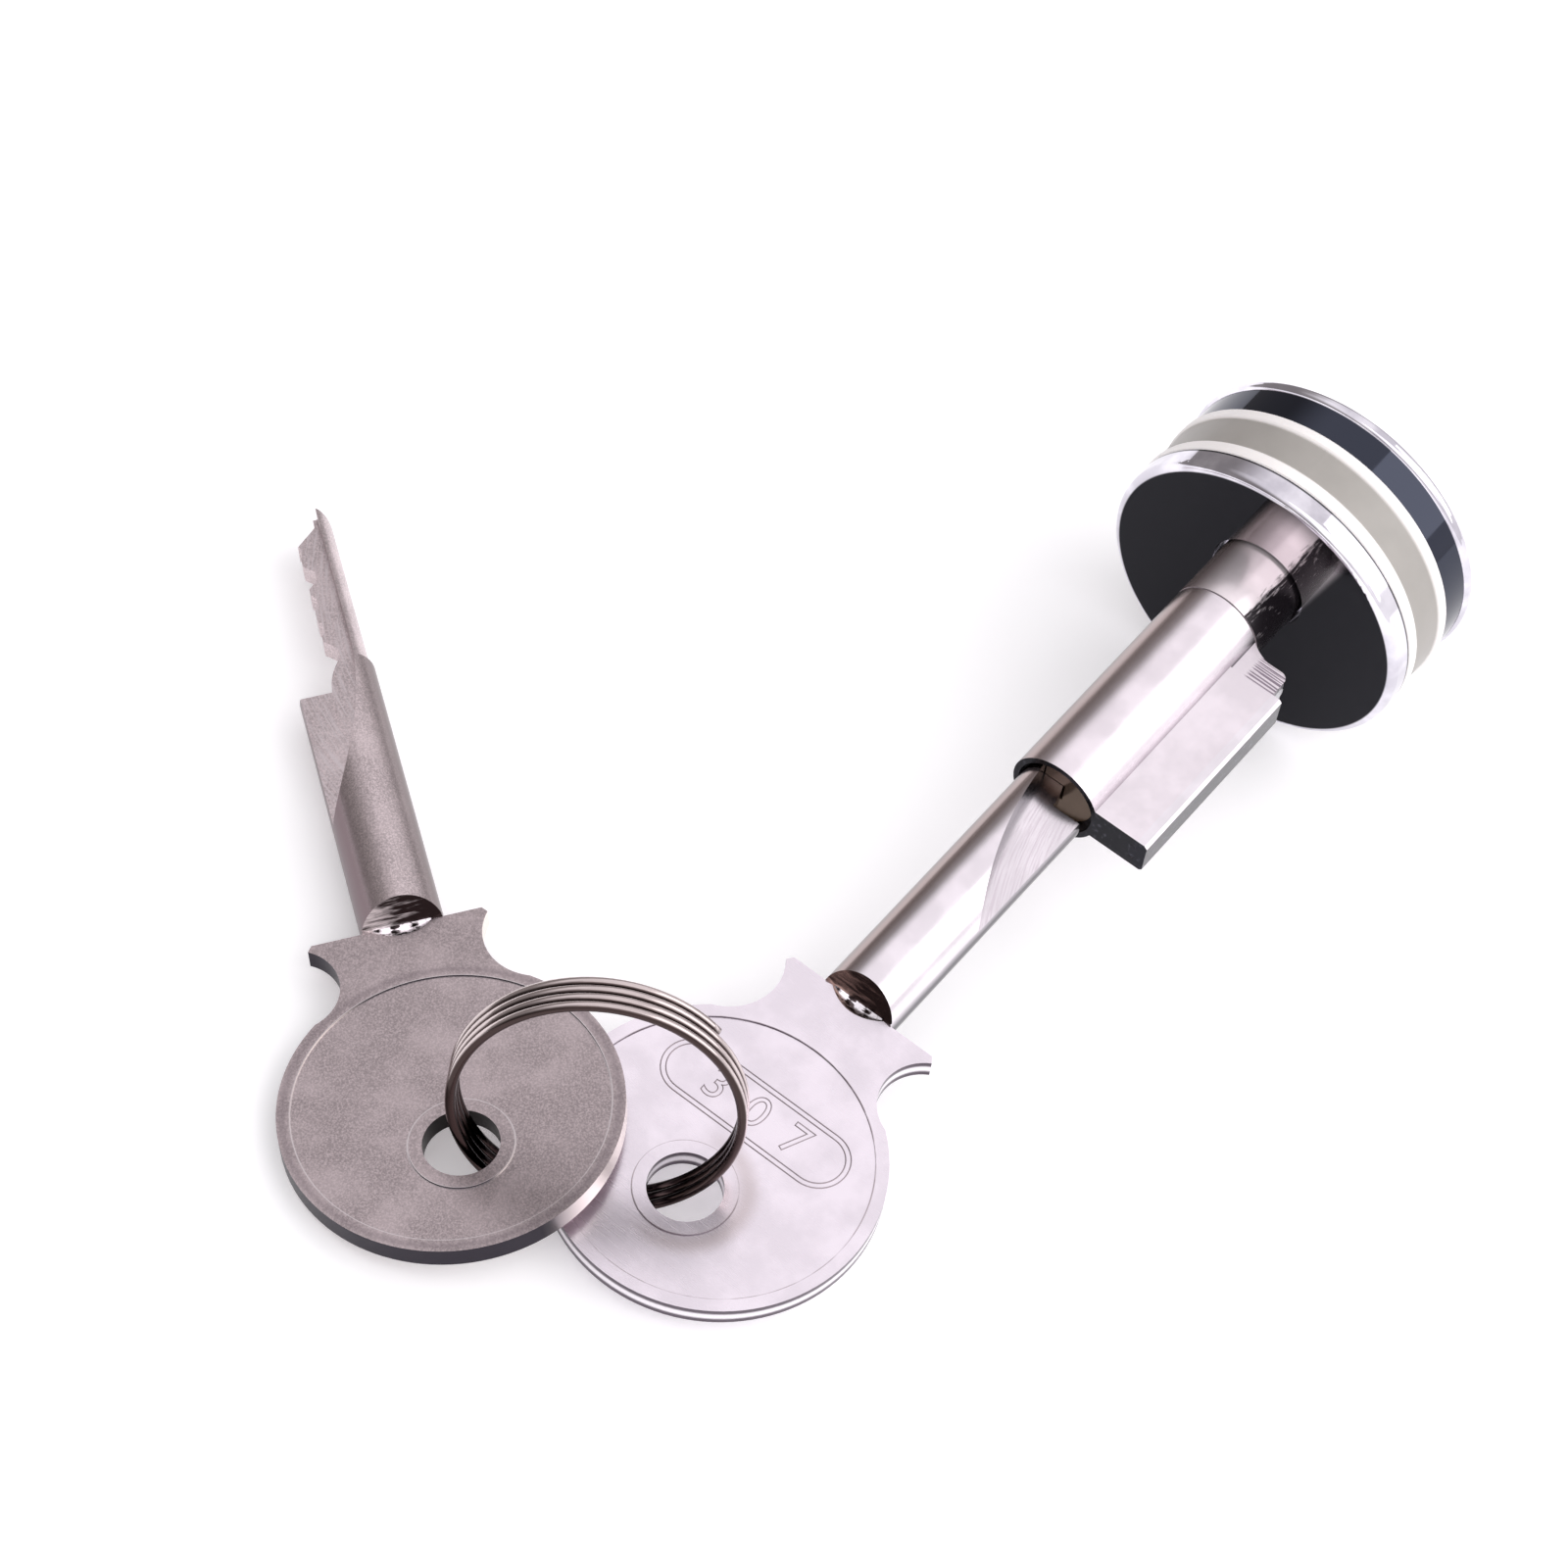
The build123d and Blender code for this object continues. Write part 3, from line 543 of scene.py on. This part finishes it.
def soft_plastic(name):
    """Milky soft plastic, whiter on the two lips, with painted grey shade in the groove between them."""
    made = Shader(name, (0.8, 0.78, 0.76), 0.0, 0.38)
    vector = made.local(LOCK)
    x = made.split(vector)[0]
    front = FLANGE_THICKNESS / MM
    back = front + BUMPER_WIDTH / MM
    # Painted shade: grey in the groove between the two lips.
    near = made.ramp(x, front + 1.2, front + 1.45, 0.0, 1.0)
    far = made.ramp(x, back - 1.25, back - 1.0, 1.0, 0.0)
    groove = made.math("MULTIPLY", near, far)
    cloud = made.noise(vector, 0.5, 2.0)
    lips = made.mix(cloud, (0.93, 0.9, 0.88), (0.98, 0.95, 0.93))
    band = made.mix(cloud, (0.34, 0.325, 0.3), (0.39, 0.37, 0.345))
    made.color(made.mix(groove, lips, band))
    made.shader.inputs["Subsurface Weight"].default_value = 0.1
    made.shader.inputs["Subsurface Radius"].default_value = (1.0 * MM, 0.9 * MM, 0.8 * MM)
    made.shader.inputs["Subsurface Scale"].default_value = 1.0
    made.bump(made.noise(vector, 3.0, 2.0), 0.05, 0.05 * MM)
    return made.material


def plain_metal(name, base, roughness, matrix):
    """Small turned part: fine marks only."""
    made = Shader(name, base, 1.0, roughness)
    marks = made.noise(made.stretched(made.local(matrix), (9.0, 2.0, 2.0)), 1.0, 2.0)
    made.roughness(made.ramp(marks, 0.2, 0.8, roughness * 0.7, roughness * 1.3))
    made.bump(marks, 0.1, 0.02 * MM)
    return made.material


def dress(names, material):
    """Give CAD nodes a material."""
    for name in names:
        slots = frame["nodes"][name].data.materials
        if len(slots):
            for index in range(len(slots)):
                slots[index] = material
        else:
            slots.append(material)


dress(["barrel_housing"], housing_metal())
dress(["pin_cover_strip"], strip_metal())
dress(["lock_plug"], plug_metal())
dress(["key_bow"], bow_metal())
dress(["key_shaft"], shaft_metal())
dress(["spare_key_bow"], worn_metal("worn_nickel", (0.52, 0.445, 0.455), 0.36, (1.0, 1.0, 1.0), False))
dress(["spare_key_shaft"], worn_metal("worn_shaft", (0.66, 0.57, 0.58), 0.3, (0.35, 9.0, 9.0), True))
# Painted dark reflections: the drum's front face inside its chrome edge, and the wall of the rear cup.
face_dark = DRUM_RADIUS / MM - FLANGE_EDGE / MM
dress(["drum_front_flange"], drum_chrome("flange_chrome", -1.0, 1.5, face_dark))
cup_from = (FLANGE_THICKNESS + BUMPER_WIDTH) / MM
cup_to = (DRUM_LENGTH - CUP_RIM_WIDTH) / MM
dress(["drum_rear_cup"], drum_chrome("cup_chrome", cup_from, cup_to - 0.05, 20.0, (0.05, 0.055, 0.075)))
dress(["drum_bumper_ring"], soft_plastic("bumper"))
steel = plain_metal("steel", (0.55, 0.55, 0.57), 0.25, LOCK)
brass = plain_metal("brass", (0.75, 0.58, 0.28), 0.22, LOCK)
dress(["drum_screw", "drum_washer", "drum_dowels", "retaining_pin"], steel)
dress([f"driver_spring_{number}" for number in range(1, 6)], steel)
dress([f"driver_pin_{number}" for number in range(1, 6)], brass)
dress([f"key_pin_{number}" for number in range(1, 6)], brass)


def tube(name, points, radius, sides=16, closed=False):
    """Mesh tube along points, with flat ends or closed on itself."""
    mesh = bmesh.new()
    rings = []
    count = len(points)
    up = None
    for index, point in enumerate(points):
        before = points[index - 1] if index or closed else points[0]
        after = points[(index + 1) % count] if index < count - 1 or closed else points[-1]
        ahead = (after - before).normalized()
        if up is None:
            up = ahead.orthogonal().normalized()
        up = (up - ahead * up.dot(ahead)).normalized()
        side = ahead.cross(up)
        ring = []
        for step in range(sides):
            angle = 2 * math.pi * step / sides
            ring.append(mesh.verts.new(point + (up * math.cos(angle) + side * math.sin(angle)) * radius))
        rings.append(ring)
    pairs = list(zip(rings, rings[1:]))
    if closed:
        pairs.append((rings[-1], rings[0]))
    for ring, following in pairs:
        for step in range(sides):
            other = (step + 1) % sides
            mesh.faces.new((ring[step], ring[other], following[other], following[step]))
    if not closed:
        mesh.faces.new(list(reversed(rings[0])))
        mesh.faces.new(rings[-1])
    data = bpy.data.meshes.new(name)
    mesh.to_mesh(data)
    mesh.free()
    data.shade_smooth()
    made = bpy.data.objects.new(name, data)
    bpy.context.scene.collection.objects.link(made)
    return made


def split_ring():
    """The wire of the split ring: its turns touch, and the first and last overlap."""
    wire = 0.385 * MM
    pitch = 0.8 * MM
    radius = RING_RADIUS - 0.05 * MM
    start = 312.0
    sweep = 1290.0
    top = pitch * sweep / 360 / 2
    step = 4.0
    points = []
    for index in range(int(sweep / step) + 1):
        turned = index * step
        angle = math.radians(start - turned)
        height = top - pitch * turned / 360
        points.append(RING @ Vector((radius * math.cos(angle), radius * math.sin(angle), height)))
    made = tube("split_ring_wire", points, wire, 20)
    made.data.materials.append(wire_metal())
    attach(made, "split_ring")
    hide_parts("split_ring")
    return made


def stadium(matrix, centre, half_length, radius, height, steps=20):
    """Points of a slot shape across a key's bow."""
    points = []
    for side in (1, -1):
        for step in range(steps + 1):
            angle = math.pi * step / steps
            x = centre - side * radius * math.cos(angle)
            y = side * (half_length + radius * math.sin(angle))
            points.append(matrix @ Vector((x, y, height)))
    return points


def bow_marks():
    """Double line round a plate for a number, and the number, stamped on the key's bow."""
    surface = BOW_THICKNESS / 2 - BOW_DISH
    ink = plated("stamped_line", (0.34, 0.29, 0.31), KEY, 0.3)
    ink.color(ink.tone)
    for name, radius in (("number_frame_outer", 2.45 * MM), ("number_frame_inner", 2.05 * MM)):
        outline = stadium(KEY, NUMBER_X, NUMBER_HALF_LENGTH, radius, surface)
        line = tube(name, outline, 0.05 * MM, 8, closed=True)
        line.data.materials.append(ink.material)
        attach(line, "key")
    for index, digit in enumerate("307"):
        data = bpy.data.curves.new(f"digit_{index}", "FONT")
        data.body = digit
        data.size = NUMBER_HEIGHT
        data.align_x = "CENTER"
        data.align_y = "CENTER"
        data.fill_mode = "NONE"
        data.bevel_depth = 0.045 * MM
        data.bevel_resolution = 2
        data.materials.append(ink.material)
        made = bpy.data.objects.new(f"stamped_digit_{index}", data)
        bpy.context.scene.collection.objects.link(made)
        place = Matrix.Translation(Vector((NUMBER_X, NUMBER_SPACING * (1 - index), surface)))
        made.matrix_world = KEY @ place @ Matrix.Rotation(math.radians(-90), 4, "Z")
        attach(made, "key")


def floor():
    """Pale table top."""
    size = 4.0
    corners = [(-size, -size, 0), (size, -size, 0), (size, size, 0), (-size, size, 0)]
    data = bpy.data.meshes.new("floor")
    data.from_pydata(corners, [], [(0, 1, 2, 3)])
    made = bpy.data.objects.new("floor", data)
    bpy.context.scene.collection.objects.link(made)
    paint = Shader("floor_paper", (0.9, 0.9, 0.91), 0.0, 0.9)
    paint.shader.inputs["Specular IOR Level"].default_value = 0.1
    light_path = paint.node("ShaderNodeLightPath")
    seen = paint.math("MAXIMUM", light_path.outputs["Is Camera Ray"], light_path.outputs["Is Glossy Ray"])
    seen = paint.math("MAXIMUM", seen, light_path.outputs["Is Transmission Ray"])
    paint.link(paint.math("MULTIPLY", seen, 0.22), paint.shader.inputs["Emission Strength"])
    paint.shader.inputs["Emission Color"].default_value = (1, 1, 1, 1)
    data.materials.append(paint.material)
    made.location.z = -0.00005


def area_light(name, place, target, size, watts, color=(1, 1, 1)):
    """Soft square lamp that points at a place."""
    data = bpy.data.lights.new(name, "AREA")
    data.shape = "SQUARE"
    data.size = size
    data.energy = watts
    data.color = color
    made = bpy.data.objects.new(name, data)
    bpy.context.scene.collection.objects.link(made)
    made.location = place
    made.rotation_euler = (Vector(target) - Vector(place)).to_track_quat("-Z", "Y").to_euler()
    return made


def studio():
    """Broad soft light from above in a pale room that is darker low down on the far side."""
    middle = (0, 0, 0.01)
    area_light("key_light", (0.35, -0.9, 0.85), middle, 1.2, 5.0, (1, 0.99, 0.985))
    area_light("fill_light", (-0.6, -0.5, 0.9), middle, 1.2, 3.6)
    world = bpy.data.worlds.new("studio")
    world.use_nodes = True
    tree = world.node_tree
    background = tree.nodes["Background"]
    coords = tree.nodes.new("ShaderNodeTexCoord")
    lift = tree.nodes.new("ShaderNodeVectorMath")
    lift.operation = "DOT_PRODUCT"
    lift.inputs[1].default_value = WORLD_BRIGHT_TOWARD
    rise = tree.nodes.new("ShaderNodeMapRange")
    rise.interpolation_type = "SMOOTHSTEP"
    blend = tree.nodes.new("ShaderNodeMix")
    rise.inputs["From Min"].default_value = 0.05
    rise.inputs["From Max"].default_value = 0.5
    blend.data_type = "RGBA"
    blend.inputs[6].default_value = (0.3, 0.28, 0.28, 1)
    blend.inputs[7].default_value = (0.98, 0.95, 0.98, 1)
    tree.links.new(coords.outputs["Generated"], lift.inputs[0])
    tree.links.new(lift.outputs["Value"], rise.inputs["Value"])
    tree.links.new(rise.outputs["Result"], blend.inputs[0])
    tree.links.new(blend.outputs[2], background.inputs["Color"])
    background.inputs["Strength"].default_value = 1.0
    bpy.context.scene.world = world


def camera():
    """Camera at the photograph's viewing angle."""
    data = bpy.data.cameras.new("camera")
    data.sensor_width = CAMERA_SENSOR
    data.lens = CAMERA_LENS
    data.clip_start = 0.01
    made = bpy.data.objects.new("camera", data)
    bpy.context.scene.collection.objects.link(made)
    back = -CAMERA_LOOK.normalized()
    right = (CAMERA_RIGHT - back * CAMERA_RIGHT.dot(back)).normalized()
    up = back.cross(right)
    turn = Matrix((right, up, back)).transposed().to_4x4()
    turn.translation = CAMERA_AT
    made.matrix_world = turn
    bpy.context.scene.camera = made


split_ring()
bow_marks()
floor()
studio()
camera()
bpy.context.scene.view_settings.view_transform = "Standard"
